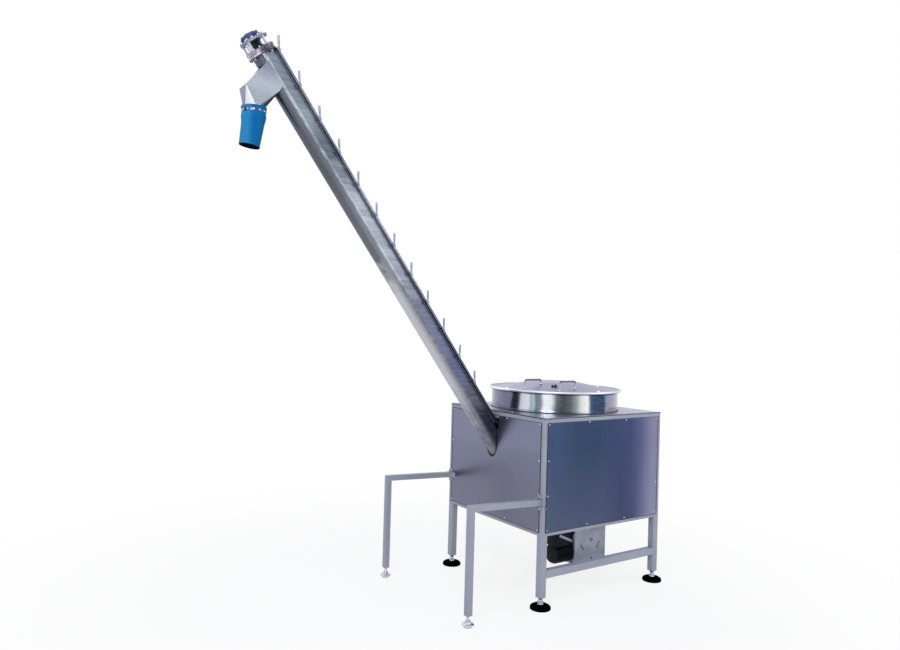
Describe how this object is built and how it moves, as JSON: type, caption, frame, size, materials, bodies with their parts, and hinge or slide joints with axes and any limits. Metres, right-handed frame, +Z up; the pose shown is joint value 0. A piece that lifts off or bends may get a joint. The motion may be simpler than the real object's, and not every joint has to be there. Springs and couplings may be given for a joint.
{
  "type": "inclined screw feeder",
  "caption": "Inclined screw feeder: round floor hopper in a box frame, sloping U trough with a clamped cover, head drive, chute with fabric sleeve, and outrigger legs.",
  "frame": {"origin": "on the floor under the middle of the whole part's box", "axes": "+Z up, +X from the discharge end towards the hopper end, +Y from the front face to the back"},
  "size_m": [2.4547, 0.93, 2.7935],
  "materials": {
    "frame_paint": "light blue-grey powder coat",
    "panel_steel": "brushed stainless sheet",
    "drum_steel": "bright rolled stainless sheet",
    "lid_steel": "satin stainless sheet",
    "trough_steel": "mill finish stainless sheet with weld streaks",
    "bright_steel": "bright stainless bar and fasteners",
    "foot_rubber": "black moulded rubber",
    "sleeve_cloth": "coated blue fabric",
    "motor_navy": "navy enamel",
    "port_plastic": "mauve plastic cap",
    "flange_steel": "turned steel plate",
    "case_metal": "grey machined plate",
    "motor_black": "black painted casting"
  },
  "bodies": {
    "feeder": {"post_front_left": "frame_paint", "post_front_right": "frame_paint", "post_back_left": "frame_paint", "post_back_right": "frame_paint", "top_rail_front": "frame_paint", "top_rail_back": "frame_paint", "top_rail_left": "frame_paint", "top_rail_right": "frame_paint", "mid_rail_front": "frame_paint", "mid_rail_back": "frame_paint", "mid_rail_left": "frame_paint", "mid_rail_right": "frame_paint", "low_rail_front": "frame_paint", "outrigger_front": "frame_paint", "outrigger_back": "frame_paint", "panel_front": "panel_steel", "panel_back": "panel_steel", "panel_left": "panel_steel", "panel_right": "panel_steel", "deck_plate": "drum_steel", "hopper_drum": "drum_steel", "hopper_floor": "trough_steel", "trough": "trough_steel", "trough_cover": "trough_steel", "cover_clamps": "bright_steel", "head_flange": "flange_steel", "screw": "trough_steel", "screw_flight": "trough_steel", "standoff_rods": "bright_steel", "screw_motor": "motor_navy", "motor_port": "port_plastic", "discharge_chute": "trough_steel", "outlet_collar": "bright_steel", "sleeve_clamp": "bright_steel", "discharge_sleeve": "sleeve_cloth", "outrigger_clamps": "bright_steel", "outrigger_feet": "bright_steel", "drive_bearer": "case_metal", "gear_case": "case_metal", "finned_motor": "motor_black", "foot_front_left": "foot_rubber", "foot_front_right": "foot_rubber", "foot_back_left": "foot_rubber", "foot_back_right": "foot_rubber"},
    "lid": {"lid": "lid_steel", "lid_handles": "bright_steel"}
  },
  "joints": [
    {"name": "lid_lift", "type": "slide", "parent": "feeder", "child": "lid", "axis": [0, 0, 1], "range_m": [0, 0.25]}
  ]
}
